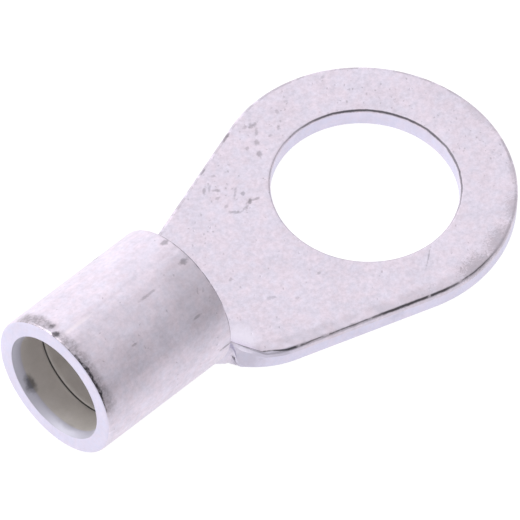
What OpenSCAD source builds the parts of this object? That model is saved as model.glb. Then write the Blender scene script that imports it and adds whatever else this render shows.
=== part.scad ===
// Uninsulated ring terminal made from one sheet: a tapering palm with a stud hole,
// curled through a short scoop into a rolled barrel whose edges meet in a brazed seam.
// Origin at the stud hole's centre on the seating face. +Z goes up through the hole,
// and the barrel lies along -X with its bottom flush with the seating face.

/* [Palm] */
// diameter of the stud hole
stud_d = 13; // [11:0.1:14]
// width across the ring
ring_w = 20.9; // [19.5:0.1:23]
// thickness of the sheet, the same in palm and barrel
sheet_t = 1.4; // [1.2:0.05:1.6]
// angle between each tapering side and the centre line
taper = 17.6; // [16:0.1:19]
// radius of the palm's rounded end beside the barrel
end_r = 7.1; // [6.8:0.05:7.6]
// rounding of the palm's upper outer edge
rim_r = 0.45; // [0.2:0.05:0.6]
// rounding of the stud hole's upper edge
hole_r = 0.3; // [0.1:0.05:0.5]

/* [Barrel] */
// outside diameter of the rolled barrel
barrel_d = 10.6; // [10:0.1:11.4]
// length of the barrel
barrel_l = 11.7; // [8:0.1:16]
// distance from the stud hole's centre to the barrel's ring end
reach = 18.35; // [18:0.05:19]
// depth of the countersink inside the mouth
flare_l = 0.7; // [0.3:0.05:1.2]
// widening of the mouth's radius by the countersink
flare_w = 0.24; // [0.1:0.02:0.5]
// rounding of the mouth's outer edge
mouth_r = 0.25; // [0.1:0.05:0.5]
// rounding of the ring end's outer edge
back_r = 0.2; // [0.1:0.05:0.4]
// distance of the pressed line inside the bore from the mouth
line_at = 2.75; // [1.5:0.05:5]
// depth of the pressed line
line_h = 0.06; // [0.03:0.01:0.1]

/* [Seam] */
// width of the shallow groove left along the brazed seam
seam_w = 0.6; // [0.3:0.05:0.9]
// depth of that groove
seam_h = 0.07; // [0.03:0.01:0.12]
// radius of the gap in the braze where the seam reaches the mouth
seam_gap = 0.35; // [0.15:0.05:0.5]

/* [Scoop] */
// length over which the sheet goes from flat to fully curled
scoop_l = 3.15; // [2.9:0.05:3.4]
// width of the sheet's upper face where it joins the barrel, as a share of the bore's width
lip_share = 0.954; // [0.92:0.002:0.966]
// how late the upper edge climbs out of the palm, 1 for a straight ramp
lip_climb = 1.15; // [1:0.05:1.6]
// rounding of the upper edge in the scoop, sharper than the palm's
lip_r = 0.14; // [0.1:0.02:0.3]
// softness of the inside corner between palm and scoop
corner_soft = 0.5; // [0.2:0.05:0.9]
// distance from the barrel's ring end to where the under side's edge leaves the seating face
notch_l = 2.05; // [1.8:0.05:2.3]
// height of that lower edge where it reaches the barrel's ring end
notch_h = 3.4; // [3:0.05:3.7]
// width across the squarer heel that the sheet makes under the scoop
heel_w = 8.7; // [8.4:0.05:9.1]
// length over which the heel dies away under the barrel
heel_l = 0.9; // [0.6:0.05:1.2]
// how much wider the heel's flat bottom gets for each length of it
heel_spread = 1.47; // [1.3:0.01:1.6]

/* [Hidden] */
$fn = 96;
stud_r = stud_d / 2;
ring_r = ring_w / 2;
barrel_r = barrel_d / 2;
bore_r = barrel_r - sheet_t;
mid_r = barrel_r - sheet_t / 2;
end_x = -(ring_r - end_r) / sin(taper);
side_l = -end_x * cos(taper);
flat_x = scoop_l - reach;
notch_x = notch_l - reach;
heel_x = -reach - heel_l;
// half width and height of the upper face's edge where it meets the bore's wall
lip_w = lip_share * bore_r;
lip_h = barrel_r - sqrt(bore_r * bore_r - lip_w * lip_w);
// the scoop is let into the barrel's wall a little past the heel, thinner by root_in from each
// face at the wall's end and by root_end at its own
root_l = heel_l + 0.15;
root_in = 0.02;
root_end = 0.12;
// stations along the scoop and along its root, points across the lower and the upper face, and
// points round the upper edge
n_along = 18;
n_root = 5;
n_low = 14;
n_up = 10;
n_edge = 4;

// cross-section of what a rounded outer edge loses, edge at x = 0, upper face at y = top
module edge_waste(r, top) {
    difference() {
        translate([-r, top - r]) square([r + 1, r + 1]);
        translate([-r, top - r]) circle(r = r);
    }
}

// outline of the palm: ring, tapering sides and rounded end
module palm_outline() {
    circle(r = ring_r);
    translate([end_x, 0]) circle(r = end_r);
    polygon([
        [-ring_r * sin(taper), ring_r * cos(taper)],
        [end_x - end_r * sin(taper), end_r * cos(taper)],
        [end_x - end_r * sin(taper), -end_r * cos(taper)],
        [-ring_r * sin(taper), -ring_r * cos(taper)],
    ]);
}

// rounding along one tapering side
module side_waste() {
    translate([end_x - end_r * sin(taper), end_r * cos(taper), 0])
        rotate([0, 0, 90 + taper])
            rotate([90, 0, 0])
                linear_extrude(height = side_l) edge_waste(rim_r, sheet_t);
}

// rounding along the palm's whole upper outer edge
module rim_waste() {
    rotate([0, 0, -90 - taper])
        rotate_extrude(angle = 180 + 2 * taper)
            translate([ring_r, 0]) edge_waste(rim_r, sheet_t);
    side_waste();
    mirror([0, 1, 0]) side_waste();
    translate([end_x, 0, 0])
        rotate([0, 0, 90 + taper])
            rotate_extrude(angle = 180 - 2 * taper)
                translate([end_r, 0]) edge_waste(rim_r, sheet_t);
}

// stud hole with its rounded upper edge
module stud_hole() {
    translate([0, 0, -1]) cylinder(r = stud_r, h = sheet_t + 2);
    rotate_extrude()
        translate([stud_r, 0]) mirror([1, 0]) edge_waste(hole_r, sheet_t);
}

// flat part of the palm
module palm() {
    difference() {
        linear_extrude(height = sheet_t)
            intersection() {
                palm_outline();
                translate([flat_x, -ring_w]) square([2 * ring_w, 2 * ring_w]);
            }
        rim_waste();
        stud_hole();
    }
}

// rolled barrel, drawn upright with its mouth at the top and its seam towards +X
module barrel_upright() {
    difference() {
        cylinder(r = barrel_r, h = barrel_l);
        translate([0, 0, -1]) cylinder(r = bore_r, h = barrel_l + 2);
        translate([0, 0, barrel_l - flare_l])
            cylinder(r1 = bore_r, r2 = bore_r + flare_w, h = flare_l);
        rotate_extrude() translate([barrel_r, 0]) edge_waste(mouth_r, barrel_l);
        translate([0, 0, barrel_l])
            mirror([0, 0, 1])
                rotate_extrude() translate([barrel_r, 0]) edge_waste(back_r, barrel_l);
        translate([0, 0, barrel_l - line_at])
            rotate_extrude() translate([bore_r - 0.1 + line_h, 0]) circle(r = 0.1);
        seam_groove();
    }
}

// groove, inner line and end gap of the brazed seam
module seam_groove() {
    groove_r = (seam_w * seam_w / 4 + seam_h * seam_h) / (2 * seam_h);
    translate([barrel_r + groove_r - seam_h, 0, -1]) cylinder(r = groove_r, h = barrel_l + 2);
    translate([bore_r - 0.15 + seam_h, 0, -1]) cylinder(r = 0.15, h = barrel_l + 2);
    translate([barrel_r, 0, barrel_l]) sphere(r = seam_gap);
}

function ease(a) = let (b = min(max(a, 0), 1)) b * b * (3 - 2 * b);
function soft_max(a, b, soft) = (a + b + sqrt(pow(a - b, 2) + soft * soft)) / 2;
function mix(a, b, share) = a + (b - a) * share;
function round_half(x) = sqrt(max(0, pow(end_r, 2) - pow(x - end_x, 2)));
// distance from the flat palm's end towards the barrel
function back(x) = min(max(flat_x - x, 0), scoop_l);
function edge_r(x) = mix(rim_r, lip_r, ease(back(x)));

// half width and height of the upper face's edge at x
function lip_y(x) =
    let (at_flat = round_half(flat_x), lift = soft_max(at_flat, lip_w, corner_soft) - at_flat)
    soft_max(round_half(x) - ease(back(x) / 0.9) / 4, lip_w, corner_soft)
        - lift * (1 - ease(back(x) / 1.2));
function lip_z(x) = sheet_t + (lip_h - sheet_t) * pow(back(x) / scoop_l, lip_climb);

// upper face at x, with q from 0 in the middle to 1 at the edge: a hollow that ends as the bore
function upper(x, q) =
    let (c = lip_share, deep = (1 - sqrt(1 - pow(c * q, 2))) / (1 - sqrt(1 - c * c)))
    [lip_y(x) * q, sheet_t + (lip_z(x) - sheet_t) * deep];

// lower face: flat in the middle, bent up at the heel, then upright to its edge
function lower(x, q) =
    let (past = min(max(notch_x - x, 0), notch_l))
    past == 0 ? [round_half(x) * q, 0]
    : let (
        spread = max(heel_spread * (x - heel_x), 0),
        flat = mix(round_half(x), spread, ease(past / 0.45)),
        wide = mix(barrel_r - 0.4, soft_max(round_half(x), heel_w / 2, 0.2),
            ease((x - heel_x) / (heel_l + 0.2))),
        bend = max(wide - flat, 0.08),
        rise = notch_h * (1 - pow(1 - past / notch_l, 2.2)) * ease(past / 0.5),
        turn = acos(max(1 - rise / bend, 0)),
        s = q * (flat + bend * turn * PI / 180 + max(rise - bend, 0)),
        t = min(max(s - flat, 0) / bend * 180 / PI, 90)
    )
        [min(s, flat) + bend * sin(t), bend * (1 - cos(t)) + max(s - flat - bend * PI / 2, 0)];

// place in the sheet: q across from the middle, n up from the lower face
function in_sheet(x, q, n) =
    let (p = mix(lower(x, q), upper(x, q), n / sheet_t)) [x, p[0], p[1]];

// half of a section's points, from the middle of the lower face to that of the upper one
function half_section(x, g) =
    let (r = edge_r(x), w = lip_y(x))
    concat(
        [for (i = [0 : n_low]) [1 - pow(1 - i / n_low, 1.4), g]],
        [for (i = [0 : n_edge])
            [1 - r * (1 - cos(90 * i / n_edge)) / w, sheet_t - g - r * (1 - sin(90 * i / n_edge))]],
        [for (i = [n_up - 1 : -1 : 0])
            [(1 - r / w) * sin(asin(lip_share) * i / n_up) / lip_share, sheet_t - g]]
    );
function section(x, g) =
    let (h = [for (p = half_section(x, g)) in_sheet(x, p[0], p[1])], n = len(h))
    concat(h, [for (i = [n - 2 : -1 : 1]) [x, -h[i][1], h[i][2]]]);

// one end face of the scoop as a strip of triangles, on the ring of n points that starts at k
function strip(k, n) =
    let (h = n / 2 + 1, left = function (i) i == 0 || i == h - 1 ? i : n - i)
    concat(
        [for (j = [0 : h / 2 - 2]) [k + j, k + j + 1, k + h - 2 - j]],
        [for (j = [0 : h / 2 - 2]) [k + j, k + h - 2 - j, k + h - 1 - j]],
        [for (j = [0 : h / 2 - 2]) [k + left(j), k + left(h - 2 - j), k + left(j + 1)]],
        [for (j = [0 : h / 2 - 2]) [k + left(j), k + left(h - 1 - j), k + left(h - 2 - j)]]
    );
function turned(faces) = [for (f = faces) [f[0], f[2], f[1]]];

// scoop: the sheet's lofted change from flat palm to curled barrel bottom, with the heel
module scoop() {
    rings = concat(
        [for (i = [0 : n_root])
            section(-reach - root_l * (1 - i / n_root), mix(root_end, root_in, i / n_root))],
        [for (i = [1 : n_along]) section(-reach + scoop_l * i / n_along, i == 1 ? root_in / 2 : 0)]
    );
    n = len(rings[0]);
    m = len(rings);
    polyhedron(
        points = [for (r = rings) for (p = r) p],
        faces = concat(
            strip(0, n),
            [for (i = [0 : m - 2]) for (j = [0 : n - 1])
                [i * n + j, (i + 1) * n + j, (i + 1) * n + (j + 1) % n]],
            [for (i = [0 : m - 2]) for (j = [0 : n - 1])
                [i * n + j, (i + 1) * n + (j + 1) % n, i * n + (j + 1) % n]],
            turned(strip((m - 1) * n, n))
        )
    );
}

module terminal() {
    color("silver")
        union() {
            palm();
            scoop();
            translate([-reach, 0, barrel_r]) rotate([0, -90, 0]) barrel_upright();
        }
}

terminal();
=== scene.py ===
"""Looks of an uninsulated ring terminal: one tinned copper sheet, its palm punched with a stud
hole and curled through a scoop into a rolled and brazed barrel."""

import math

import bpy
import bmesh
import numpy as np
from mathutils import Matrix, Vector


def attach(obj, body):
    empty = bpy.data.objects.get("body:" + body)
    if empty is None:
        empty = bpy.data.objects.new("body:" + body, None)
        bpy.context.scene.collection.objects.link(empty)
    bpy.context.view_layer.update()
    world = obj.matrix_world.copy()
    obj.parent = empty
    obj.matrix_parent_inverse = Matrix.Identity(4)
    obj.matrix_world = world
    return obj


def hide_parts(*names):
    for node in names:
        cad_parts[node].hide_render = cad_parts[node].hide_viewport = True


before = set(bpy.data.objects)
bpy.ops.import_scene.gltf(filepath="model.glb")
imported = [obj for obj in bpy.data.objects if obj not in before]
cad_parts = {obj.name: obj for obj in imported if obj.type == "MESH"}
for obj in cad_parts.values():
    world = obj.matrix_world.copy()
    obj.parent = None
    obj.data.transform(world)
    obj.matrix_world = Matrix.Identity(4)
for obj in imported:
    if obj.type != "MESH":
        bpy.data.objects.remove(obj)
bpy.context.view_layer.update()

MM = 0.001

# ---------------------------------------------------------------- sizes, in millimetres
SHEET = 1.4
STUD_R = 6.5
RING_R = 10.45
END_R = 7.1
TAPER = math.radians(17.6)
END_X = -(RING_R - END_R) / math.sin(TAPER)
RIM_R = 0.25
HOLE_R = 0.2
BURR_R = 0.06
BARREL_R = 5.3
BORE_R = BARREL_R - SHEET
MID_R = BARREL_R - SHEET / 2
BARREL_L = 11.7
REACH = 18.35
MOUTH_X = -(REACH + BARREL_L)
FLARE_L = 0.7
FLARE_W = 0.24
MOUTH_R = 0.25
BACK_R = 0.2
LINE_AT = 2.75
LINE_W = 0.12
LINE_H = 0.03
LIP_R = 0.06
SAWN_R = 0.08
SEAM_HALF = 0.25
SEAM_DEPTH = 0.022
SEAM_RIPPLE = 0.03
NECK_HALF = 4.05
SCOOP_L = 3.15
CORNER_SOFT = 0.5
FLAT_X = SCOOP_L - REACH
RISE = 2.729
RISE_POWER = 1.15
LIP_HALF = 3.72
LIP_LEAN = 0.25
NOTCH_X = -16.3
NOTCH_RISE = 3.4
NOTCH_POWER = 2.2
NOTCH_SOFT = 0.75
HEEL_X = -19.25
HEEL_SLOPE = 1.47
HEEL_HALF = 4.35
HEEL_L = 1.1
SHARP_R = 0.14
ROOT_X = -19.45
ROOT_IN = 0.02
ROOT_THIN = 0.1
TIGHTEST_BEND = 0.08
ROOT_HALF = BARREL_R - 0.4

# mesh steps: round the outline, crowded along the neck, and round the barrel
OUTLINE_STEPS = 560
NECK_FROM = -15.6
NECK_CROWD = 2.6
BARREL_STEPS = 260


def ease(a):
    """A smooth step from 0 to 1."""
    b = np.clip(a, 0.0, 1.0)
    return b * b * (3 - 2 * b)


# ---------------------------------------------------------------- the sheet: palm and scoop
def round_half(x, d):
    """Half width of the palm's rounded end at x, for an outline set in by d."""
    return np.sqrt(np.maximum((END_R - d) ** 2 - (x - END_X) ** 2, 0.0))


def soft_max(a, b, soft=CORNER_SOFT):
    """The larger of a and b, with the corner between them rounded over soft."""
    return (a + b + np.sqrt((a - b) ** 2 + soft ** 2)) / 2


def half_width(x, d):
    """Half width of the flat blank at x, from the ring's far side back to the neck."""
    ring_t = -(RING_R - d) * math.sin(TAPER)
    end_t = END_X - (END_R - d) * math.sin(TAPER)
    ring = np.sqrt(np.maximum((RING_R - d) ** 2 - x ** 2, 0.0))
    side = (RING_R - d + x * math.sin(TAPER)) / math.cos(TAPER)
    end = round_half(x, d)
    at_flat = round_half(FLAT_X, d)
    lift = soft_max(at_flat, NECK_HALF - d) - at_flat
    neck = soft_max(end, NECK_HALF - d) - lift * ease((x - FLAT_X + 1.2) / 1.2)
    out = np.where(x > ring_t, ring, side)
    out = np.where(x < end_t, end, out)
    return np.where(x < FLAT_X, neck, out)


def inset_from_outline(x, u):
    """How far a point of the flat blank lies in from the outline."""
    ring = RING_R - np.hypot(x, u)
    end = END_R - np.hypot(x - END_X, u)
    side = RING_R + x * math.sin(TAPER) - np.abs(u) * math.cos(TAPER)
    along = x * math.cos(TAPER) + np.abs(u) * math.sin(TAPER)
    out = np.where(along > 0, ring, side)
    past = (x - END_X) * math.cos(TAPER) + np.abs(u) * math.sin(TAPER) < 0
    out = np.where(past, end, out)
    return np.where(x < FLAT_X, half_width(x, 0.0) - np.abs(u), out)


def outline_radius(phi, d):
    """Distance from the stud hole's centre to the outline in each direction phi."""
    c, s = np.cos(phi), np.abs(np.sin(phi))
    far = -ROOT_X
    low = np.full_like(phi, STUD_R + 0.5)
    high = np.where(c < 0, far / np.maximum(-c, 1e-6), RING_R + 1)
    high = np.minimum(high, 40.0)
    steps = np.linspace(0, 1, 240)
    rho = low[:, None] + (high - low)[:, None] * steps[None, :]
    d = np.broadcast_to(np.asarray(d, dtype=float), phi.shape)
    inside = half_width(rho * c[:, None], d[:, None]) - rho * s[:, None] > 0
    first_out = np.argmin(inside, axis=1)
    whole = inside.all(axis=1)
    k = np.arange(len(phi))
    a = rho[k, np.maximum(first_out - 1, 0)]
    b = rho[k, np.maximum(first_out, 1)]
    for _ in range(40):
        m = (a + b) / 2
        ok = half_width(m * c, d) - m * s > 0
        a, b = np.where(ok, m, a), np.where(ok, b, m)
    return np.where(whole, high, a)


def rim_round(x):
    """The rounding of the palm's upper edge, which gets sharper into the scoop."""
    return RIM_R + (SHARP_R - RIM_R) * ease((FLAT_X + 1.5 - x) / 1.5)


def inner_lip(x):
    """Half width and height of the sheet's upper edge along the scoop."""
    back = np.clip(FLAT_X - x, 0.0, SCOOP_L)
    end = round_half(x, 0.0) - LIP_LEAN * ease(back / 0.9)
    at_flat = round_half(FLAT_X, 0.0)
    lift = soft_max(at_flat, LIP_HALF) - at_flat
    y = soft_max(end, LIP_HALF) - lift * (1 - ease(back / 1.2))
    y = np.where(x > FLAT_X, half_width(x, 0.0), y)
    return y, SHEET + RISE * (back / SCOOP_L) ** RISE_POWER


def under_side(x, q):
    """The lower face: flat in its middle, then bent up to the heel, q from 0 to 1 across."""
    past = np.clip(NOTCH_X - x, 0.0, REACH + NOTCH_X)
    half = np.where(x > FLAT_X, half_width(x, 0.0), round_half(x, 0.0))
    wide = soft_max(round_half(x, 0.0), HEEL_HALF, 0.2)
    wide = ROOT_HALF + (wide - ROOT_HALF) * ease((x - HEEL_X) / HEEL_L)
    spread = np.maximum(HEEL_SLOPE * (x - HEEL_X), 0.0)
    flat = spread + (half - spread) * (1 - ease(past / NOTCH_SOFT))
    bend = np.maximum(wide - flat, TIGHTEST_BEND)
    share = 1 - (1 - past / (REACH + NOTCH_X)) ** NOTCH_POWER
    rise = NOTCH_RISE * share * ease(past / NOTCH_SOFT)
    turn = np.arccos(np.clip(1 - rise / bend, 0.0, 1.0))
    s = q * np.where(past > 0, flat + bend * turn + np.maximum(rise - bend, 0.0), half)
    t = np.clip((s - flat) / bend, 0.0, math.pi / 2)
    more = np.maximum(s - flat - bend * math.pi / 2, 0.0)
    bent = (s > flat) & (past > 0)
    y = np.where(bent, flat + bend * np.sin(t), s)
    z = np.where(bent, bend * (1 - np.cos(t)) + more, 0.0)
    return y, z


def on_sheet(x, u, n):
    """Place a point of the flat blank on the curled sheet: u across, n up from the under side."""
    let_in = np.clip((-REACH - x) / 1.05, 0.0, 1.0)
    g = ROOT_IN * ease((-REACH + 0.1 - x) / 0.2) + ROOT_THIN * let_in
    up = (g + n * (SHEET - 2 * g) / SHEET) / SHEET
    q = np.minimum(np.abs(u) / half_width(x, 0.0), 1.0)
    lip_y, lip_z = inner_lip(x)
    c = LIP_HALF / BORE_R
    hollow = (1 - np.sqrt(1 - (c * q) ** 2)) / (1 - math.sqrt(1 - c * c))
    top_y, top_z = lip_y * q, SHEET + (lip_z - SHEET) * hollow
    low_y, low_z = under_side(x, q)
    y = (low_y + (top_y - low_y) * up) * np.sign(u)
    return np.stack([x, y, low_z + (top_z - low_z) * up], -1)


def sheet_directions(count):
    """Directions round the stud hole, evenly along the outline and closer along the neck."""
    t = np.linspace(0, 2 * math.pi, 12001)
    rho = outline_radius(t, 0.0)
    x, u = rho * np.cos(t), rho * np.sin(t)
    mid = (x[1:] + x[:-1]) / 2
    length = np.hypot(np.diff(x), np.diff(u))
    weight = np.where((mid < NECK_FROM) & (mid > ROOT_X + 0.001), NECK_CROWD, 1.0)
    run = np.concatenate([[0.0], np.cumsum(length * weight)])
    return np.interp(np.linspace(0, run[-1], count, endpoint=False), run, t)


# what a section point is measured from: hole, lower rim, shares of the faces, upper rim, sheared wall
HOLE, LOW_RIM, TOP_SHARE, LOW_SHARE, TOP_RIM, SHEARED = range(6)


def sheet_section():
    """The sheet's section as (kind, amount, height), from the hole's lower edge up its wall, over
    the upper face, down the sheared wall and back along the lower face."""
    pts = []
    add = pts.append
    for i in range(4):
        a = math.pi / 2 * i / 3
        add((HOLE, BURR_R * (1 - math.sin(a)), BURR_R * (1 - math.cos(a))))
    for i in range(1, 5):
        add((HOLE, 0.0, BURR_R + (SHEET - HOLE_R - BURR_R) * i / 5))
    for i in range(9):
        a = math.pi / 2 * i / 8
        add((HOLE, HOLE_R * (1 - math.cos(a)), SHEET - HOLE_R * (1 - math.sin(a))))
    for i in range(1, 34):
        add((TOP_SHARE, i / 34, SHEET))
    for i in range(11):
        a = math.pi / 2 * i / 10
        add((TOP_RIM, 1 - math.sin(a), 1 - math.cos(a)))
    for i in range(1, 5):
        add((SHEARED, i / 5, 0.0))
    for i in range(4):
        a = math.pi / 2 * i / 3
        add((LOW_RIM, BURR_R * (1 - math.cos(a)), BURR_R * (1 - math.sin(a))))
    for i in range(22, 0, -1):
        add((LOW_SHARE, i / 23, 0.0))
    return pts


def outward(mesh):
    """Turns all faces of a closed mesh outward."""
    bm = bmesh.new()
    bm.from_mesh(mesh)
    bmesh.ops.recalc_face_normals(bm, faces=bm.faces)
    if bm.calc_volume(signed=True) < 0:
        bmesh.ops.reverse_faces(bm, faces=bm.faces)
    bm.to_mesh(mesh)
    bm.free()


def closed_grid(name, points):
    """A mesh that closes in both directions, from points[around][along]."""
    m, n = points.shape[:2]
    i, j = np.meshgrid(np.arange(m), np.arange(n), indexing="ij")
    i2, j2 = (i + 1) % m, (j + 1) % n
    quads = np.stack([i * n + j, i2 * n + j, i2 * n + j2, i * n + j2], -1).reshape(-1, 4)
    mesh = bpy.data.meshes.new(name)
    mesh.from_pydata((points.reshape(-1, 3) * MM).tolist(), [], quads.tolist())
    outward(mesh)
    return mesh


def point_value(mesh, name, values):
    """Stores a value at each point, for the finishes to read."""
    data = mesh.attributes.new(name, "FLOAT", "POINT").data
    data.foreach_set("value", np.asarray(values, dtype=np.float32).reshape(-1))


# finishes by slot, in the order in which they are given to the piece
FACE, CUT, BORE, ROLLED = range(4)


def palm_and_scoop():
    """The sheet from ring to root, in one closed grid, and the finish of each face."""
    phi = sheet_directions(OUTLINE_STEPS)
    cos, sin = np.cos(phi), np.sin(phi)
    edge = outline_radius(phi, 0.0)
    rim = rim_round(edge * cos)
    top_in, top_out = STUD_R + HOLE_R, outline_radius(phi, rim)
    low_in, low_out = STUD_R + BURR_R, outline_radius(phi, BURR_R)
    neck = ease(-cos * 2.2 - 1.2)
    cols, insets, depths, slots = [], [], [], []
    for kind, amount, height in sheet_section():
        tall = np.full_like(phi, height)
        if kind == HOLE:
            rho = np.full_like(phi, STUD_R + amount)
        elif kind == TOP_RIM:
            rho, tall = outline_radius(phi, rim * amount), SHEET - rim * height
        elif kind == SHEARED:
            rho, tall = edge, SHEET - rim - (SHEET - rim - BURR_R) * amount
        elif kind == LOW_RIM:
            rho = outline_radius(phi, amount)
        elif kind == TOP_SHARE:
            rho = top_out - (top_out - top_in) * (1 - amount) ** (1 + 0.7 * neck)
        else:
            rho = low_out - (low_out - low_in) * (1 - amount) ** (1 + 1.2 * neck)
        cols.append(on_sheet(rho * cos, rho * sin, tall))
        insets.append(inset_from_outline(rho * cos, rho * sin))
        depths.append(SHEET - tall)
        in_hole = kind == HOLE and amount == 0.0 and height < SHEET - HOLE_R - 0.01
        slots.append(CUT if kind == SHEARED or in_hole else FACE)
    mesh = closed_grid("palm_and_scoop", np.stack(cols, 1))
    point_value(mesh, "inset", np.stack(insets, 1))
    point_value(mesh, "below", np.stack(depths, 1))
    slots = np.tile(np.array(slots, dtype=np.int32), len(phi))
    return bpy.data.objects.new("palm_and_scoop", mesh), slots


# ---------------------------------------------------------------- the rolled barrel
def arc(cx, cr, r, start, end, steps):
    """Points (along the axis, radius) on an arc round (cx, cr), angles in degrees."""
    for i in range(steps + 1):
        a = math.radians(start + (end - start) * i / steps)
        yield cx + r * math.cos(a), cr + r * math.sin(a)


def wall_section():
    """Outline of the barrel's wall: distance from the mouth and radius, mouth at 0."""
    pts = list(arc(MOUTH_R, BARREL_R - MOUTH_R, MOUTH_R, 180, 90, 8))
    for i in range(1, 60):
        pts.append((MOUTH_R + (BARREL_L - MOUTH_R - BACK_R) * i / 60, BARREL_R))
    pts += arc(BARREL_L - BACK_R, BARREL_R - BACK_R, BACK_R, 90, 0, 6)
    for i in range(1, 6):
        pts.append((BARREL_L, BARREL_R - BACK_R - (SHEET - BACK_R - SAWN_R) * i / 6))
    pts += arc(BARREL_L - SAWN_R, BORE_R + SAWN_R, SAWN_R, 0, -90, 4)
    span = BARREL_L - SAWN_R - LINE_AT - LINE_W
    for i in range(1, 30):
        pts.append((BARREL_L - SAWN_R - span * i / 30, BORE_R))
    for i in range(7):
        a = math.pi * i / 6
        pts.append((LINE_AT + LINE_W * math.cos(a), BORE_R + LINE_H * math.sin(a)))
    span = LINE_AT - LINE_W - FLARE_L
    for i in range(1, 9):
        pts.append((LINE_AT - LINE_W - span * i / 9, BORE_R))
    lip = BORE_R + FLARE_W
    for i in range(8):
        a = i / 7
        pts.append((FLARE_L * (1 - a) + LIP_R * a, BORE_R + (FLARE_W - 0.04) * a ** 1.5))
    pts += arc(LIP_R, lip + 0.02, LIP_R, 250, 180, 3)
    for i in range(1, 5):
        pts.append((0.0, lip + 0.02 + (BARREL_R - MOUTH_R - lip - 0.02) * i / 5))
    return pts


def named_input(group, name, kind, value=None):
    """Adds a named input socket to a node group."""
    sock = group.interface.new_socket(name=name, in_out="INPUT", socket_type=kind)
    if value is not None:
        sock.default_value = value
    return sock


class Net:
    """Small helper that adds nodes to a tree and joins them."""

    def __init__(self, tree):
        self.tree = tree

    def add(self, kind, links=None, **props):
        node = self.tree.nodes.new(kind)
        for key, value in props.items():
            setattr(node, key, value)
        for key, value in (links or {}).items():
            if isinstance(value, bpy.types.NodeSocket):
                self.tree.links.new(value, node.inputs[key])
            else:
                node.inputs[key].default_value = value
        return node

    def math(self, op, a, b=0.0, c=0.0, clamp=False):
        return self.add("ShaderNodeMath", {0: a, 1: b, 2: c}, operation=op, use_clamp=clamp).outputs[0]

    def join(self, out, sock):
        self.tree.links.new(out, sock)


def roll_tree():
    """Geometry nodes that carry the wall's section round the barrel's axis and press the
    brazed seam into it."""
    tree = bpy.data.node_groups.new("roll_the_wall", "GeometryNodeTree")
    named_input(tree, "Section", "NodeSocketGeometry")
    named_input(tree, "Points In Section", "NodeSocketInt", 100)
    named_input(tree, "Steps Around", "NodeSocketInt", 240)
    named_input(tree, "Axis Height", "NodeSocketFloat", BARREL_R * MM)
    named_input(tree, "Middle Radius", "NodeSocketFloat", MID_R * MM)
    named_input(tree, "Half Wall", "NodeSocketFloat", SHEET / 2 * MM)
    named_input(tree, "Seam Half Width", "NodeSocketFloat", SEAM_HALF * MM)
    named_input(tree, "Seam Depth", "NodeSocketFloat", SEAM_DEPTH * MM)
    named_input(tree, "Seam Ripple", "NodeSocketFloat", SEAM_RIPPLE * MM)
    named_input(tree, "Surface", "NodeSocketMaterial")
    tree.interface.new_socket(name="Barrel", in_out="OUTPUT", socket_type="NodeSocketGeometry")
    net = Net(tree)
    inp = net.add("NodeGroupInput").outputs
    out = net.add("NodeGroupOutput")
    rows = net.math("ADD", inp["Steps Around"], 1.0)
    cols = net.math("ADD", inp["Points In Section"], 1.0)
    grid = net.add("GeometryNodeMeshGrid",
                   {"Size X": 1.0, "Size Y": 1.0, "Vertices X": cols, "Vertices Y": rows})
    place = net.add("GeometryNodeInputPosition").outputs[0]
    split = net.add("ShaderNodeSeparateXYZ", {0: place}).outputs
    share = net.math("ADD", split["X"], 0.5)
    turn = net.math("ADD", split["Y"], 0.5)
    spot = net.math("ROUND", net.math("MULTIPLY", share, inp["Points In Section"]))
    spot = net.math("MODULO", spot, inp["Points In Section"])
    taken = net.add("GeometryNodeSampleIndex", data_type="FLOAT_VECTOR", domain="POINT")
    net.join(inp["Section"], taken.inputs["Geometry"])
    net.join(place, taken.inputs["Value"])
    net.join(spot, taken.inputs["Index"])
    sect = net.add("ShaderNodeSeparateXYZ", {0: taken.outputs[0]}).outputs
    # steps are closer together at the seam, which is where the turn starts and ends
    full = net.math("MULTIPLY", turn, 2 * math.pi)
    angle = net.math("SUBTRACT", full, net.math("MULTIPLY", net.math("SINE", full), 0.62))
    side = net.math("SUBTRACT", angle, math.pi)
    arc_to_seam = net.math("MULTIPLY", net.math("SUBTRACT", math.pi, net.math("ABSOLUTE", side)), sect["Z"])
    near = net.math("DIVIDE", arc_to_seam, inp["Seam Half Width"])
    groove = net.math("EXPONENT", net.math("MULTIPLY", net.math("MULTIPLY", near, near), -1.0))
    wander = net.add("ShaderNodeTexNoise",
                     {"Vector": taken.outputs[0], "Scale": 900.0, "Detail": 2.0}).outputs[0]
    ripple = net.math("MULTIPLY", net.math("SUBTRACT", wander, 0.5), inp["Seam Ripple"])
    depth = net.math("MULTIPLY", groove, net.math("ADD", inp["Seam Depth"], ripple))
    face = net.math("DIVIDE", net.math("SUBTRACT", sect["Z"], inp["Middle Radius"]), inp["Half Wall"])
    radius = net.math("SUBTRACT", sect["Z"], net.math("MULTIPLY", depth, face))
    y = net.math("MULTIPLY", radius, net.math("SINE", angle))
    z = net.math("ADD", inp["Axis Height"], net.math("MULTIPLY", radius, net.math("COSINE", angle)))
    where = net.add("ShaderNodeCombineXYZ", {"X": sect["X"], "Y": y, "Z": z}).outputs[0]
    moved = net.add("GeometryNodeSetPosition",
                    {"Geometry": grid.outputs["Mesh"], "Position": where}).outputs[0]
    joined = net.add("GeometryNodeMergeByDistance", {"Geometry": moved, "Distance": 1e-8}).outputs[0]
    real = net.add("GeometryNodeRealizeInstances", {"Geometry": joined}).outputs[0]
    skinned = net.add("GeometryNodeSetMaterial", {"Geometry": real, "Material": inp["Surface"]}).outputs[0]
    net.join(skinned, out.inputs[0])
    return tree


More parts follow.
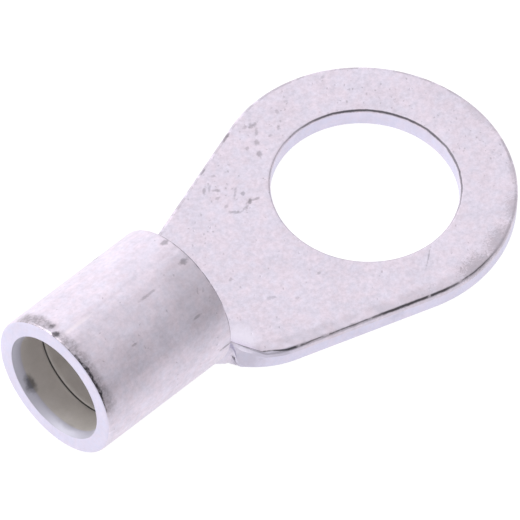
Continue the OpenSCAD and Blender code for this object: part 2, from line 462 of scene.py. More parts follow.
def run_tree(obj, tree, values):
    """Applies a geometry tree to an object's mesh and leaves a plain mesh."""
    bpy.context.scene.collection.objects.link(obj)
    mod = obj.modifiers.new("shape", "NODES")
    mod.node_group = tree
    names = {s.name: s.identifier for s in tree.interface.items_tree if s.in_out == "INPUT"}
    for key, value in values.items():
        mod[names[key]] = value
    bpy.context.view_layer.update()
    ready = obj.evaluated_get(bpy.context.evaluated_depsgraph_get())
    mesh = bpy.data.meshes.new_from_object(ready)
    obj.modifiers.clear()
    old = obj.data
    obj.data = mesh
    bpy.data.meshes.remove(old)
    bpy.context.scene.collection.objects.unlink(obj)
    return obj


def rolled_barrel():
    """The rolled wall with its brazed seam on top."""
    pts = wall_section()
    mesh = bpy.data.meshes.new("wall_section")
    n = len(pts)
    coords = [((MOUTH_X + x) * MM, 0.0, r * MM) for x, r in pts]
    mesh.from_pydata(coords, [(i, (i + 1) % n) for i in range(n)], [])
    obj = bpy.data.objects.new("rolled_barrel", mesh)
    run_tree(obj, roll_tree(), {"Points In Section": n, "Steps Around": BARREL_STEPS})
    outward(obj.data)
    return obj


# ---------------------------------------------------------------- one piece
def unite(a, b):
    """Joins the two closed bodies into the one piece that the terminal is."""
    scene = bpy.context.scene
    scene.collection.objects.link(a)
    scene.collection.objects.link(b)
    mod = a.modifiers.new("weld", "BOOLEAN")
    mod.object = b
    mod.operation = "UNION"
    mod.solver = "EXACT"
    bpy.context.view_layer.update()
    ready = a.evaluated_get(bpy.context.evaluated_depsgraph_get())
    mesh = bpy.data.meshes.new_from_object(ready)
    mesh.name = "terminal_body"
    body = bpy.data.objects.new("terminal_body", mesh)
    for o in (a, b):
        bpy.data.objects.remove(o)
    scene.collection.objects.link(body)
    return body


COS_CRISP = 0.906


def crisp_where_finishes_meet(mesh):
    """Edges between two finishes that turn by more than 25 degrees stay crisp."""
    bm = bmesh.new()
    bm.from_mesh(mesh)
    for edge in bm.edges:
        a = edge.link_faces
        meet = len(a) == 2 and a[0].material_index != a[1].material_index
        edge.smooth = not (meet and a[0].normal.dot(a[1].normal) < COS_CRISP)
    bm.to_mesh(mesh)
    bm.free()


def barrel_slots(mesh):
    """The finish of each face: rolled tin outside, cut edge on the sawn ends, and bore tin inside
    and on the countersink at the mouth."""
    n = len(mesh.polygons)
    c, nrm = np.empty(n * 3), np.empty(n * 3)
    mesh.polygons.foreach_get("center", c)
    mesh.polygons.foreach_get("normal", nrm)
    c, nrm = c.reshape(-1, 3) / MM, nrm.reshape(-1, 3)
    rad = np.hypot(c[:, 1], c[:, 2] - BARREL_R)
    ends = np.abs(nrm[:, 0]) > 0.7
    lip = (c[:, 0] < MOUTH_X + FLARE_L) & (rad < BORE_R + FLARE_W + 0.1)
    slot = np.where(ends, CUT, np.where(lip | (rad < BORE_R + 0.2), BORE, ROLLED))
    m = len(mesh.vertices)
    point_value(mesh, "inset", np.full(m, 5.0))
    point_value(mesh, "below", np.zeros(m))
    return slot.astype(np.int32)


# ---------------------------------------------------------------- finishes
def shader_group(name, inputs, outputs):
    """A shader node group with named sockets. Inputs are (name, kind, value)."""
    tree = bpy.data.node_groups.new(name, "ShaderNodeTree")
    for label, kind, value in inputs:
        named_input(tree, label, "NodeSocket" + kind, value)
    for label, kind in outputs:
        tree.interface.new_socket(name=label, in_out="OUTPUT", socket_type="NodeSocket" + kind)
    net = Net(tree)
    return tree, net, net.add("NodeGroupInput").outputs, net.add("NodeGroupOutput").inputs


def noise(net, place, scale, detail=2.0, rough=0.5, warp=0.0):
    """Noise from 0 to 1 at a place."""
    values = {"Vector": place, "Scale": scale, "Detail": detail, "Roughness": rough, "Distortion": warp}
    return net.add("ShaderNodeTexNoise", values).outputs["Fac"]


def step(net, value, low, high):
    """0 below low, 1 above high, smooth between."""
    return net.add("ShaderNodeMapRange", {"Value": value, "From Min": low, "From Max": high},
                   interpolation_type="SMOOTHSTEP").outputs[0]


def scaled(net, place, xyz):
    """A place with each coordinate multiplied."""
    return net.add("ShaderNodeVectorMath", {0: place, 1: xyz}, operation="MULTIPLY").outputs[0]


def tin_mottle_group():
    """Clouds and flecks in the tin: how light, how warm and how high it is."""
    tree, net, i, o = shader_group(
        "tin_mottle",
        [("Place", "Vector", None), ("Cloud Size", "Float", 3.0), ("Cloud Strength", "Float", 0.1),
         ("Fleck Size", "Float", 0.35), ("Fleck Strength", "Float", 0.1), ("Height", "Float", 0.02)],
        [("Shade", "Float"), ("Warmth", "Float"), ("Relief", "Float")])
    cloud = noise(net, i["Place"], net.math("DIVIDE", 1.0, i["Cloud Size"]), 3.0, 0.55, 0.4)
    fleck = noise(net, i["Place"], net.math("DIVIDE", 1.0, i["Fleck Size"]), 4.0, 0.7)
    other = net.add("ShaderNodeVectorMath", {0: i["Place"], 1: (7.3, 2.1, 5.9)}, operation="ADD").outputs[0]
    warm = noise(net, other, net.math("DIVIDE", 2.6, i["Cloud Size"]), 3.0, 0.6)
    a = net.math("MULTIPLY", net.math("SUBTRACT", cloud, 0.5), i["Cloud Strength"])
    b = net.math("MULTIPLY", net.math("SUBTRACT", fleck, 0.5), i["Fleck Strength"])
    net.join(net.math("ADD", net.math("ADD", a, b), 1.0), o["Shade"])
    net.join(step(net, warm, 0.3, 0.7), o["Warmth"])
    both = net.math("ADD", net.math("MULTIPLY", cloud, 1.5), fleck)
    net.join(net.math("MULTIPLY", both, i["Height"]), o["Relief"])
    return tree


def pitting_group():
    """Small pits that come in flocks."""
    tree, net, i, o = shader_group(
        "pitting",
        [("Place", "Vector", None), ("Spacing", "Float", 0.6), ("Size", "Float", 0.3),
         ("Share", "Float", 0.5), ("Flock Size", "Float", 3.0)],
        [("Pits", "Float")])
    bent = noise(net, i["Place"], 2.4, 2.0)
    push = net.math("MULTIPLY", bent, 0.6)
    push = net.add("ShaderNodeCombineXYZ", {"X": push, "Y": push, "Z": push}).outputs[0]
    moved = net.add("ShaderNodeVectorMath", {0: i["Place"], 1: push}, operation="ADD").outputs[0]
    cell = net.add("ShaderNodeTexVoronoi", {"Vector": moved, "Scale": net.math("DIVIDE", 1.0, i["Spacing"])})
    core = net.math("MULTIPLY", i["Size"], 0.3)
    pit = net.math("SUBTRACT", 1.0, step(net, cell.outputs["Distance"], core, i["Size"]))
    pick = net.add("ShaderNodeSeparateColor", {0: cell.outputs["Color"]}).outputs[0]
    flock = noise(net, i["Place"], net.math("DIVIDE", 1.0, i["Flock Size"]), 2.0)
    share = net.math("MULTIPLY", i["Share"], step(net, flock, 0.38, 0.66))
    chosen = step(net, pick, net.math("SUBTRACT", 1.0, share), net.math("SUBTRACT", 1.02, share))
    net.join(net.math("MULTIPLY", pit, chosen), o["Pits"])
    return tree


def patch_mark_group():
    """One patch with a torn edge, an ellipsoid: used for rubbed and dirty spots and for patches of painted
    shade and painted highlight.
    """
    tree, net, i, o = shader_group(
        "patch_mark",
        [("Place", "Vector", None), ("Centre", "Vector", (0, 0, 0)), ("Reach", "Vector", (1, 1, 1)),
         ("Turn", "Float", 0.0), ("Torn", "Float", 0.0), ("Strength", "Float", 0.5)],
        [("Mask", "Float")])
    off = net.add("ShaderNodeVectorMath", {0: i["Place"], 1: i["Centre"]}, operation="SUBTRACT").outputs[0]
    spun = net.add("ShaderNodeVectorRotate", {"Vector": off, "Angle": i["Turn"]},
                   rotation_type="Z_AXIS").outputs[0]
    unit = net.add("ShaderNodeVectorMath", {0: spun, 1: i["Reach"]}, operation="DIVIDE").outputs[0]
    dist = net.add("ShaderNodeVectorMath", {0: unit}, operation="LENGTH").outputs["Value"]
    mask = net.math("SUBTRACT", 1.0, step(net, net.math("ADD", dist, i["Torn"]), 0.35, 1.15))
    net.join(net.math("MULTIPLY", mask, i["Strength"]), o["Mask"])
    return tree


def edge_line_group():
    """A line that follows an edge at a distance from it, with breaks: for tarnish and for painted shade along
    roundings.
    """
    tree, net, i, o = shader_group(
        "edge_line",
        [("Place", "Vector", None), ("Distance", "Float", 0.0), ("Middle", "Float", 0.2),
         ("Half Width", "Float", 0.15), ("Wander", "Float", 0.1), ("Gaps", "Float", 0.3),
         ("Gap Size", "Float", 1.0)],
        [("Mask", "Float")])
    sway = noise(net, i["Place"], 1.3, 3.0, 0.6)
    sway = net.math("MULTIPLY", net.math("SUBTRACT", sway, 0.5), net.math("MULTIPLY", i["Wander"], 2.0))
    off = net.math("ABSOLUTE", net.math("ADD", net.math("SUBTRACT", i["Distance"], i["Middle"]), sway))
    core = net.math("MULTIPLY", i["Half Width"], 0.35)
    line = net.math("SUBTRACT", 1.0, step(net, off, core, i["Half Width"]))
    gap = noise(net, i["Place"], net.math("DIVIDE", 1.0, i["Gap Size"]), 3.0, 0.6)
    keep = step(net, gap, net.math("SUBTRACT", i["Gaps"], 0.08), net.math("ADD", i["Gaps"], 0.08))
    net.join(net.math("MULTIPLY", line, keep), o["Mask"])
    return tree


def window_group():
    """1 between two values, 0 outside them, with soft ends."""
    tree, net, i, o = shader_group(
        "window",
        [("Value", "Float", 0.0), ("From", "Float", 0.0), ("To", "Float", 1.0), ("Soft", "Float", 0.1)],
        [("Mask", "Float")])
    ends = []
    for at in ("From", "To"):
        low, high = net.math("SUBTRACT", i[at], i["Soft"]), net.math("ADD", i[at], i["Soft"])
        ends.append(step(net, i["Value"], low, high))
    rise, fall = ends
    net.join(net.math("MULTIPLY", rise, net.math("SUBTRACT", 1.0, fall)), o["Mask"])
    return tree


def barrel_turn_group():
    """Place on the barrel: the angle round its axis, from the far side over the top, and the
    distance from its mouth and from its ring end."""
    tree, net, i, o = shader_group(
        "barrel_turn",
        [("Place", "Vector", None), ("Axis Height", "Float", BARREL_R), ("Mouth", "Float", MOUTH_X),
         ("Ring End", "Float", -REACH)],
        [("Turn", "Float"), ("From Mouth", "Float"), ("From Ring End", "Float")])
    p = net.add("ShaderNodeSeparateXYZ", {0: i["Place"]}).outputs
    up = net.math("SUBTRACT", p["Z"], i["Axis Height"])
    deg = net.math("MULTIPLY", net.math("ARCTAN2", up, p["Y"]), 180 / math.pi)
    under = net.math("LESS_THAN", deg, -90.0)
    net.join(net.math("MULTIPLY_ADD", under, 360.0, deg), o["Turn"])
    net.join(net.math("SUBTRACT", p["X"], i["Mouth"]), o["From Mouth"])
    net.join(net.math("SUBTRACT", i["Ring End"], p["X"]), o["From Ring End"])
    return tree


class Finish:
    """One metal finish: its tree, the groups placed in it, and the shader at its end."""

    def __init__(self, name):
        self.material = bpy.data.materials.new(name)
        self.material.use_nodes = True
        tree = self.material.node_tree
        tree.nodes.clear()
        self.net = Net(tree)
        self.shader = self.net.add("ShaderNodeBsdfPrincipled")
        out = self.net.add("ShaderNodeOutputMaterial")
        self.net.join(self.shader.outputs[0], out.inputs[0])
        self.shader.inputs["Metallic"].default_value = 1.0
        self.object = self.net.add("ShaderNodeTexCoord").outputs["Object"]
        self.place = scaled(self.net, self.object, (1 / MM,) * 3)
        self.xyz = self.net.add("ShaderNodeSeparateXYZ", {0: self.place}).outputs

    def group(self, tree, **values):
        """Places a node group and sets its named inputs."""
        node = self.net.add("ShaderNodeGroup", node_tree=tree)
        if "Place" in node.inputs:
            self.net.join(self.place, node.inputs["Place"])
        for key, value in values.items():
            sock = node.inputs[key.replace("_", " ")]
            if isinstance(value, bpy.types.NodeSocket):
                self.net.join(value, sock)
            else:
                sock.default_value = value
        return node.outputs

    def point(self, name):
        """A value stored at the points."""
        return self.net.add("ShaderNodeAttribute", attribute_name=name).outputs["Fac"]

    def tint(self, fac, a, b):
        """Colour a, going to colour b as fac goes to 1."""
        mix = self.net.add("ShaderNodeMix", data_type="RGBA", clamp_factor=True)
        socks = [s for s in mix.inputs if s.enabled]
        for sock, value in zip(socks, (fac, a, b)):
            if isinstance(value, bpy.types.NodeSocket):
                self.net.join(value, sock)
            else:
                sock.default_value = value if isinstance(value, float) else tuple(value) + (1.0,)
        return [s for s in mix.outputs if s.enabled][0]

    def shade(self, colour, value):
        """A colour made lighter or darker."""
        grey = self.net.add("ShaderNodeCombineXYZ", {"X": value, "Y": value, "Z": value}).outputs[0]
        return self.net.add("ShaderNodeVectorMath", {0: colour, 1: grey}, operation="MULTIPLY").outputs[0]

    def times(self, *values):
        out = values[0]
        for value in values[1:]:
            out = self.net.math("MULTIPLY", out, value)
        return out

    def strongest(self, *values):
        out = values[0]
        for value in values[1:]:
            out = self.net.math("MAXIMUM", out, value)
        return out

    def window(self, value, low, high, soft, height=1.0):
        """height between low and high, 0 outside, with soft ends."""
        mask = self.group(WINDOW, Value=value, From=low, To=high, Soft=soft)["Mask"]
        return mask if height == 1.0 else self.times(mask, height)

    def mottle(self, clouds, flecks, height, **place):
        """Clouds and flecks in the tin, each as (size, strength)."""
        return self.group(MOTTLE, Cloud_Size=clouds[0], Cloud_Strength=clouds[1], Fleck_Size=flecks[0],
                          Fleck_Strength=flecks[1], Height=height, **place)

    def edge_line(self, distance, middle, half_width, wander, gaps, gap_size):
        """A broken dark line at a distance from an edge, for tarnish and for painted shade."""
        return self.group(EDGE_LINE, Distance=distance, Middle=middle, Half_Width=half_width,
                          Wander=wander, Gaps=gaps, Gap_Size=gap_size)["Mask"]

    def marks(self, rows, ragged=1.6, grain=0.3):
        """The strongest of a list of patches: (x, y, z, reach x, y, z, turn in degrees, strength)."""
        torn = noise(self.net, self.place, 1 / grain, 3.0, 0.65)
        torn = self.net.math("MULTIPLY", self.net.math("SUBTRACT", torn, 0.5), ragged)
        out = []
        for x, y, z, rx, ry, rz, turn, strength in rows:
            mark = self.group(PATCH, Centre=(x, y, z), Reach=(rx, ry, rz), Turn=-math.radians(turn),
                              Torn=torn, Strength=strength)
            out.append(mark["Mask"])
        return self.strongest(*out)

    def finish(self, colour, relief, rough, bump):
        """Joins the looks to the shader and gives the material."""
        self.net.join(colour, self.shader.inputs["Base Color"])
        if isinstance(rough, float):
            self.shader.inputs["Roughness"].default_value = rough
        else:
            self.net.join(rough, self.shader.inputs["Roughness"])
        node = self.net.add("ShaderNodeBump", {"Strength": bump, "Distance": MM, "Height": relief})
        self.net.join(node.outputs[0], self.shader.inputs["Normal"])
        return self.material


TIN_WARM = (0.790, 0.705, 0.800)
TIN_COOL = (0.755, 0.705, 0.815)
# dark colours for dirt, soot and tarnish, also used for painted shade along roundings and beside the barrel's
# ring end
GRIME_AND_SHADE = (0.035, 0.033, 0.04)
TARNISH_AND_SHADE = (0.30, 0.27, 0.30)

MOTTLE = tin_mottle_group()
PITTING = pitting_group()
PATCH = patch_mark_group()
EDGE_LINE = edge_line_group()
WINDOW = window_group()
BARREL_TURN = barrel_turn_group()

# rub marks on the palm's upper face: place, reach, turn, strength
PALM_MARKS = [
    (-2.0, 9.0, SHEET, 0.4, 0.25, 0.5, 0, 0.5), (-2.45, 9.2, SHEET, 0.25, 0.15, 0.5, 0, 0.3),
    (-2.2, 8.4, SHEET, 0.14, 0.4, 0.5, -48, 0.35), (-2.8, 7.7, SHEET, 0.2, 0.3, 0.5, -40, 0.42),
    (-3.4, 6.85, SHEET, 0.22, 0.4, 0.5, -40, 0.45), (-1.75, 7.55, SHEET, 0.2, 0.12, 0.5, 0, 0.3),
    (-0.8, 7.65, SHEET, 0.28, 0.18, 0.5, 30, 0.35), (-3.65, 7.8, SHEET, 0.2, 0.18, 0.5, 0, 0.35),
    (0.1, 8.7, SHEET, 0.14, 0.35, 0.5, -30, 0.3), (-4.0, 9.5, SHEET, 0.65, 0.14, 0.5, 18, 0.7),
    (-7.3, 8.45, SHEET, 0.4, 0.12, 0.5, 18, 0.6), (-8.4, 7.2, SHEET, 0.14, 0.5, 0.5, -48, 0.42),
    (-8.0, 7.1, SHEET, 0.1, 0.35, 0.5, -50, 0.28), (-7.1, 7.7, SHEET, 0.3, 0.16, 0.5, -40, 0.38),
    (-7.8, 6.65, SHEET, 0.4, 0.14, 0.5, -45, 0.45), (-8.2, 6.1, SHEET, 0.2, 0.14, 0.5, 0, 0.35),
    (-7.0, 5.6, SHEET, 0.12, 0.5, 0.5, -55, 0.35), (-6.65, 5.2, SHEET, 0.24, 0.18, 0.5, 0, 0.48),
    (-8.25, 5.2, SHEET, 0.2, 0.12, 0.5, 0, 0.3), (-8.15, 4.4, SHEET, 0.45, 0.16, 0.5, -50, 0.42),
    (-7.5, 4.2, SHEET, 0.55, 0.1, 0.5, 8, 0.35), (-6.8, 4.42, SHEET, 0.32, 0.22, 0.5, 10, 0.8),
    (-6.35, 4.3, SHEET, 0.45, 0.15, 0.5, -15, 0.5), (1.2, 8.9, SHEET, 0.2, 0.2, 0.5, 0, 0.35),
    (4.5, 8.7, SHEET, 0.25, 0.15, 0.5, 0, 0.3), (-12.5, 0.5, SHEET, 0.2, 0.15, 0.5, 0, 0.3),
    (-11.6, -2.5, SHEET, 0.45, 0.16, 0.5, -20, 0.26), (-10.3, -3.7, SHEET, 0.2, 0.14, 0.5, 0, 0.26),
    (-7.7, -3.2, SHEET, 0.2, 0.14, 0.5, 0, 0.3), (-1.2, -7.3, SHEET, 1.0, 0.07, 0.5, 35, 0.4),
]

# broad dull patches along the near rim and the far right of the ring
RIM_MARKS = [
    (0.6, -10.2, SHEET, 1.9, 1.1, 0.6, 3, 0.5), (3.4, -9.7, SHEET, 1.9, 1.1, 0.6, 20, 0.42),
    (6.3, -8.3, SHEET, 1.6, 0.9, 0.6, 37, 0.36), (8.6, -6.0, SHEET, 1.5, 0.6, 0.6, 56, 0.28),
    (-4.5, -9.6, SHEET, 3.6, 0.8, 0.6, -8, 0.28), (10.2, -1.0, SHEET, 0.6, 3.0, 0.6, 0, 0.22),
]


def on_barrel(x, turn, reach, width, strength):
    """A mark on the barrel's outside, at an angle round its axis."""
    a = math.radians(turn)
    return x, BARREL_R * math.cos(a), BARREL_R * (1 + math.sin(a)), reach, width, width, 0, strength


BARREL_MARKS = [
    on_barrel(-29.75, 86, 0.36, 0.36, 0.8), on_barrel(-29.35, 78, 0.3, 0.22, 0.6),
    on_barrel(-22.8, 105, 1.1, 0.13, 0.26), on_barrel(-19.0, 101, 0.45, 0.25, 0.42),
    on_barrel(-18.8, 79, 0.35, 0.3, 0.4), on_barrel(-21.9, 34, 0.35, 0.25, 0.5),
    on_barrel(-18.9, 182, 0.6, 0.14, 0.45), on_barrel(-25.8, 128, 0.4, 0.1, 0.3),
    on_barrel(-20.6, 140, 0.5, 0.12, 0.3),
]


def tinned_face():
    """The sheet's faces on the palm and in the scoop."""
    f = Finish("tinned_face")
    mottle = f.mottle((2.2, 0.14), (0.3, 0.5), 0.02)
    pits = f.group(PITTING, Spacing=0.5, Size=0.22, Share=0.5, Flock_Size=3.5)["Pits"]
    colour = f.shade(f.tint(mottle["Warmth"], TIN_COOL, TIN_WARM), mottle["Shade"])
    colour = f.tint(f.times(pits, 0.3), colour, TARNISH_AND_SHADE)
    # a dark line on the rounded rim and a softer band just inside it, both partly tarnish and partly painted
    # shade where the rounding faces away from the light, strongest on the near side
    inset, below = f.point("inset"), f.point("below")
    near = f.net.math("SUBTRACT", 1.0, step(f.net, f.xyz["Y"], -4.6, -3.6))
    # the line lies on the rounding, and further in where the scoop begins
    bulge = f.window(f.xyz["X"], -16.0, -14.4, 0.6)
    middle = f.net.math("MULTIPLY_ADD", bulge, 0.16, 0.12)
    dense = f.strongest(f.window(f.xyz["X"], -15.2, -12.6, 0.8), f.window(f.xyz["X"], -7.6, -1.6, 0.9))
    wide = f.net.math("MULTIPLY_ADD", dense, 0.045, 0.055)
    rim_strength = f.strongest(f.times(dense, 0.86), f.window(f.xyz["X"], -18.6, 2.0, 1.2, 0.66))
    scoop = f.net.math("SUBTRACT", 1.0, step(f.net, f.xyz["X"], -16.4, -15.4))
    wide = f.net.math("MULTIPLY_ADD", scoop, 0.07, wide)
    line = f.edge_line(inset, middle, wide, 0.04, 0.4, 1.1)
    haze = f.edge_line(inset, 0.4, 0.9, 0.4, 0.44, 1.2)
    top = f.net.math("SUBTRACT", 1.0, step(f.net, below, 0.4, 0.5))
    rest = f.edge_line(inset, 0.15, 0.18, 0.08, 0.5, 0.8)
    # and along the stud hole's upper edge, partly tarnish and partly painted shade, darkest on the far side
    # of the hole where the rounding faces away from the light
    across = scaled(f.net, f.place, (1, 1, 0))
    from_axis = f.net.add("ShaderNodeVectorMath", {0: across}, operation="LENGTH").outputs["Value"]
    from_hole = f.net.math("SUBTRACT", from_axis, STUD_R)
    far = step(f.net, f.net.math("MULTIPLY_ADD", f.xyz["Y"], 0.25, f.xyz["X"]), -0.5, 5.0)
    thick = f.net.math("MULTIPLY_ADD", far, 0.04, 0.05)
    ring = f.edge_line(from_hole, 0.1, thick, 0.05, 0.26, 0.9)
    ring = f.times(ring, f.net.math("MULTIPLY_ADD", far, 0.6, 0.24), top)
    # near black: the rim line and the hole's edge line, both partly painted shade, and the rub marks
    black = f.strongest(f.times(line, near, rim_strength, top), ring, f.times(f.marks(PALM_MARKS), 0.66))
    rim = f.strongest(f.times(haze, near, rim_strength, top, 0.28), f.times(rest, top, 0.4))
    grey = f.strongest(rim, f.marks(RIM_MARKS, 2.0, 0.12))
    specks = f.group(PITTING, Spacing=0.36, Size=0.3, Share=0.6, Flock_Size=1.8)["Pits"]
    crowded = f.strongest(step(f.net, f.xyz["X"], 3.0, 8.0), f.window(f.xyz["Y"], 3.5, 9.5, 1.0))
    grey = f.strongest(grey, f.times(specks, crowded, 0.42))
    # the heel's outside gets a grey darker than the sheared wall's own: partly the cut tone, partly painted
    # shade of the shadowed floor it reflects
    heel = f.marks([(-17.1, side * 4.4, 1.3, 0.75, 0.25, 1.5, 0, 0.4) for side in (-1, 1)], 0.4, 0.5)
    edge = f.net.math("SUBTRACT", 1.0, step(f.net, inset, 0.18, 0.32))
    edge = f.times(edge, near, f.window(f.xyz["X"], -18.6, -13.2, 0.8), 0.7)
    outside = f.times(step(f.net, below, 0.25, 0.45), f.window(f.xyz["X"], -18.8, -15.9, 0.3), 0.3)
    colour = f.tint(f.strongest(heel, edge, outside), colour, (0.56, 0.54, 0.66))
    # painted highlight: the inside of the curl beside the barrel is made lighter, where it catches the light
    # from above
    curl_highlight = f.marks([(-15.8, -3.7, 1.6, 1.7, 1.5, 1.2, 35, 0.9),
                      (-15.8, 3.7, 1.6, 1.7, 1.5, 1.2, -35, 0.6)], 0.5, 0.8)
    colour = f.tint(curl_highlight, colour, (0.90, 0.85, 0.97))
    colour = f.tint(grey, colour, TARNISH_AND_SHADE)
    colour = f.tint(black, colour, GRIME_AND_SHADE)
    relief = f.net.math("SUBTRACT", mottle["Relief"], f.times(pits, 0.02))
    return f.finish(colour, relief, 0.5, 0.6)


def rolled_tin():
    """The barrel's outside, streaked along its length."""
    f = Finish("rolled_tin")
    mottle = f.mottle((2.0, 0.24), (0.34, 0.4), 0.02)
    along = scaled(f.net, f.place, (0.22, 1.0, 1.0))
    streak = f.mottle((1.0, 0.16), (0.25, 0.14), 0.02, Place=along)
    pits = f.group(PITTING, Spacing=0.55, Size=0.22, Share=0.5, Flock_Size=3.0)["Pits"]
    colour = f.shade(f.tint(mottle["Warmth"], TIN_COOL, TIN_WARM), f.times(mottle["Shade"], streak["Shade"]))
    colour = f.tint(f.times(pits, 0.35), colour, TARNISH_AND_SHADE)
    at = f.group(BARREL_TURN)
    turn, mouth, ring_end = at["Turn"], at["From Mouth"], at["From Ring End"]
    seam = f.window(turn, 88.5, 91.5, 1.0)
    colour = f.tint(f.times(seam, f.window(mouth, 0.5, 3.0, 1.0), 0.5), colour, (0.95, 0.86, 0.92))
    # dark band at the mouth, partly soot and partly painted shade on the rounding: wide and black on the near
    # side of the top, grey on the far side
    sway = f.net.math("MULTIPLY", f.net.math("SUBTRACT", noise(f.net, f.place, 1.6, 3.0, 0.65), 0.5), 0.5)
    reach = f.net.math("MULTIPLY_ADD", f.window(turn, 112.0, 144.0, 12.0), 0.24, 0.16)
    run = f.net.math("DIVIDE", f.net.math("ADD", mouth, sway), reach)
    edge = f.net.math("SUBTRACT", 1.0, step(f.net, run, 0.6, 1.0))
    grain = step(f.net, noise(f.net, f.place, 4.5, 4.0, 0.7), 0.36, 0.6)
    soot_and_shade = f.times(edge, f.window(turn, 98.0, 158.0, 8.0), f.net.math("MULTIPLY_ADD", grain, 0.4, 0.55))
    halo = f.net.math("SUBTRACT", 1.0, step(f.net, f.net.math("ADD", mouth, sway), 0.45, 1.15))
    halo = f.times(halo, f.window(turn, 88.0, 160.0, 8.0), f.net.math("MULTIPLY_ADD", grain, 0.4, 0.3))
    soft = f.net.math("SUBTRACT", 1.0, step(f.net, f.net.math("ADD", mouth, sway), 0.7, 1.25))
    dull_and_shade = f.times(soft, f.window(turn, 44.0, 80.0, 6.0), 0.8)
    line = f.edge_line(ring_end, 0.06, 0.1, 0.06, 0.4, 0.6)
    line = f.times(line, f.window(turn, 70.0, 174.0, 5.0), 0.6)
    dull_and_shade = f.strongest(f.times(dull_and_shade, f.net.math("MULTIPLY_ADD", grain, 0.5, 0.5)), halo)
    colour = f.tint(dull_and_shade, colour, TARNISH_AND_SHADE)
    # painted shade: the barrel's top and near side beside its ring end are darkened a little
    ring_end_shade = f.times(f.window(ring_end, -2.0, 3.0, 1.4), f.window(turn, 92.0, 150.0, 10.0), 0.2)
    colour = f.tint(ring_end_shade, colour, TARNISH_AND_SHADE)
    colour = f.tint(f.strongest(soot_and_shade, line, f.marks(BARREL_MARKS)), colour, GRIME_AND_SHADE)
    relief = f.net.math("ADD", mottle["Relief"], streak["Relief"])
    relief = f.net.math("SUBTRACT", relief, f.times(pits, 0.02))
    return f.finish(colour, relief, 0.5, 0.6)


def tinned_cut_edge():
    """The sheared walls of palm and hole, and the barrel's sawn ends."""
    f = Finish("tinned_cut_edge")
    mottle = f.mottle((1.6, 0.12), (0.3, 0.12), 0.02)
    upright = scaled(f.net, f.place, (1.0, 1.0, 0.15))
    drag = f.mottle((0.9, 0.12), (0.18, 0.08), 0.02, Place=upright)
    colour = f.tint(mottle["Warmth"], (0.70, 0.68, 0.83), (0.73, 0.68, 0.81))
    colour = f.shade(colour, f.times(mottle["Shade"], drag["Shade"]))
    # grey patches on the sheared wall, partly tarnish and partly painted shade where the wall by the heel
    # reflects the shadowed floor
    dull_and_shade = f.marks([(-16.3, -4.8, 1.0, 1.7, 1.2, 1.8, 0, 0.32), (-15.4, -5.2, 0.9, 0.5, 0.5, 0.35, 0, 0.4),
                    (-5.6, -8.8, 0.7, 0.9, 0.5, 0.9, 0, 0.25)], 0.8, 0.5)
    colour = f.tint(dull_and_shade, colour, TARNISH_AND_SHADE)
    relief = f.net.math("ADD", mottle["Relief"], drag["Relief"])
    return f.finish(colour, relief, 0.5, 0.4)


def bore_tin():
    """The wall of the bore, dull, with the pressed line dark."""
    f = Finish("bore_tin")
    mottle = f.mottle((3.0, 0.15), (0.25, 0.10), 0.01)
    mouth = f.group(BARREL_TURN)["From Mouth"]
    colour = f.shade(f.tint(mottle["Warmth"], (0.665, 0.635, 0.61), (0.70, 0.67, 0.65)), mottle["Shade"])
    line = f.edge_line(mouth, LINE_AT, 0.09, 0.02, 0.1, 1.0)
    # the countersink is a cooler grey than the bore, with dirt gathered at its inner end
    fresh = f.net.math("SUBTRACT", 1.0, step(f.net, mouth, FLARE_L - 0.1, FLARE_L + 0.05))
    colour = f.tint(fresh, colour, (0.62, 0.61, 0.69))
    dirt = f.marks([(-29.4, 2.8, 2.5, 0.5, 0.75, 0.95, 0, 0.62),
                    (-29.5, -1.2, 1.4, 0.3, 1.3, 0.5, 0, 0.15)], 1.2, 0.7)
    colour = f.tint(f.strongest(f.times(line, 0.85), dirt), colour, GRIME_AND_SHADE)
    return f.finish(colour, mottle["Relief"], 0.68, 0.4)


# ---------------------------------------------------------------- camera, light and floor
def camera():
    """Long lens, from above the mouth on the near side."""
    az, el, roll = math.radians(-47.8416), math.radians(51.98), math.radians(3.899)
    back = Vector((math.sin(az) * math.cos(el), -math.cos(az) * math.cos(el), math.sin(el)))
    target = Vector((-10.186, 0.019, 2.0)) * MM
    right = Vector((0, 0, 1)).cross(back).normalized()
    up = back.cross(right)
    c, s = math.cos(roll), math.sin(roll)
    right, up = right * c + up * s, up * c - right * s
    cam = bpy.data.cameras.new("camera")
    cam.sensor_width = 36.0
    cam.lens = 1503.3
    cam.clip_start, cam.clip_end = 0.1, 100.0
    obj = bpy.data.objects.new("camera", cam)
    m = Matrix((right, up, back)).transposed().to_4x4()
    m.translation = target + back * 1.48
    obj.matrix_world = m
    bpy.context.scene.collection.objects.link(obj)
    bpy.context.scene.camera = obj


def studio_world():
    """White surroundings, brighter towards +Y, with a dim band low on the near side."""
    world = bpy.data.worlds.new("studio")
    world.use_nodes = True
    tree = world.node_tree
    tree.nodes.clear()
    net = Net(tree)
    look = net.add("ShaderNodeTexCoord").outputs["Generated"]
    parts = net.add("ShaderNodeSeparateXYZ", {0: look}).outputs
    level = net.math("MULTIPLY_ADD", parts["Y"], WORLD_SLOPE, WORLD_LEVEL)
    low = net.math("SUBTRACT", 1.0, step(net, parts["Z"], 0.05, 0.5))
    near = net.math("SUBTRACT", 1.0, step(net, parts["Y"], -0.95, -0.35))
    dark = net.math("MULTIPLY", net.math("MULTIPLY", low, near), WORLD_DIM)
    level = net.math("MULTIPLY", level, net.math("SUBTRACT", 1.0, dark))
    back = net.add("ShaderNodeBackground", {"Color": (1, 1, 1, 1), "Strength": level}).outputs[0]
    net.join(back, net.add("ShaderNodeOutputWorld").inputs[0])
    bpy.context.scene.world = world


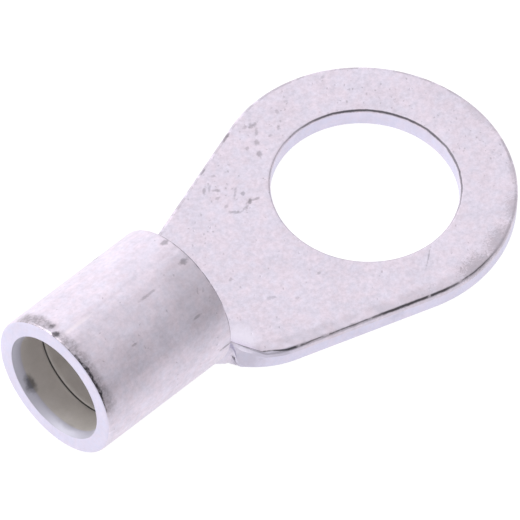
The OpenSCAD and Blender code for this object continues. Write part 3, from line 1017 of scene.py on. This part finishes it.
def floor():
    """White paper that takes the shadow."""
    mesh = bpy.data.meshes.new("floor")
    r, z = 3.0, -0.00002
    mesh.from_pydata([(-r, -r, z), (r, -r, z), (r, r, z), (-r, r, z)], [], [(0, 1, 2, 3)])
    obj = bpy.data.objects.new("floor", mesh)
    mat = bpy.data.materials.new("floor_white")
    mat.use_nodes = True
    tree = mat.node_tree
    tree.nodes.clear()
    net = Net(tree)
    path = net.add("ShaderNodeLightPath").outputs
    seen = net.math("MAXIMUM", path["Is Camera Ray"], path["Is Glossy Ray"])
    seen = net.math("MAXIMUM", seen, path["Is Transmission Ray"])
    # painted reflection: for reflection rays the paper glows a little brighter close by and darker further
    # off on the near side
    where = net.add("ShaderNodeTexCoord").outputs["Object"]
    out_near = step(net, net.add("ShaderNodeSeparateXYZ", {0: where}).outputs["Y"], -0.036, -0.007)
    fade = net.math("MULTIPLY_ADD", out_near, 0.50, -0.42)
    glow = net.math("MULTIPLY_ADD", path["Is Glossy Ray"], fade, 1.2)
    white = net.add("ShaderNodeEmission", {"Color": (1, 1, 1, 1), "Strength": glow}).outputs[0]
    plain = net.add("ShaderNodeBsdfDiffuse", {"Color": (0.9, 0.9, 0.9, 1)}).outputs[0]
    mix = net.add("ShaderNodeMixShader", {0: net.math("MULTIPLY", seen, 0.75), 1: plain, 2: white}).outputs[0]
    net.join(mix, net.add("ShaderNodeOutputMaterial").inputs[0])
    mesh.materials.append(mat)
    bpy.context.scene.collection.objects.link(obj)


def soft_lamp(name, place, size, power):
    """A round soft lamp aimed at the middle of the terminal."""
    lamp = bpy.data.lights.new(name, "AREA")
    lamp.shape = "DISK"
    lamp.size = size
    lamp.energy = power
    obj = bpy.data.objects.new(name, lamp)
    spot = Vector(place)
    aim = Vector((-0.010, 0, 0.002))
    obj.matrix_world = (spot - aim).to_track_quat("Z", "Y").to_matrix().to_4x4()
    obj.matrix_world.translation = spot
    bpy.context.scene.collection.objects.link(obj)


WORLD_LEVEL = 0.84
WORLD_SLOPE = 0.25
WORLD_DIM = 0.37
LAMP_PLACE = (-0.15, 0.35, 0.32)
LAMP_SIZE = 0.25
LAMP_POWER = 0.9

bpy.context.scene.view_settings.view_transform = "Standard"
camera()
studio_world()
floor()
soft_lamp("key", LAMP_PLACE, LAMP_SIZE, LAMP_POWER)

finishes = (tinned_face(), tinned_cut_edge(), bore_tin(), rolled_tin())
(palm, palm_slots), barrel = palm_and_scoop(), rolled_barrel()
for part, slot in ((palm, palm_slots), (barrel, barrel_slots(barrel.data))):
    part.data.materials.clear()
    for finish in finishes:
        part.data.materials.append(finish)
    part.data.polygons.foreach_set("material_index", slot)
terminal = unite(palm, barrel)
terminal.name = terminal.data.name = "ring_terminal"
terminal.data.polygons.foreach_set("use_smooth", np.ones(len(terminal.data.polygons), dtype=bool))
crisp_where_finishes_meet(terminal.data)

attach(terminal, "root")
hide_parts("terminal")
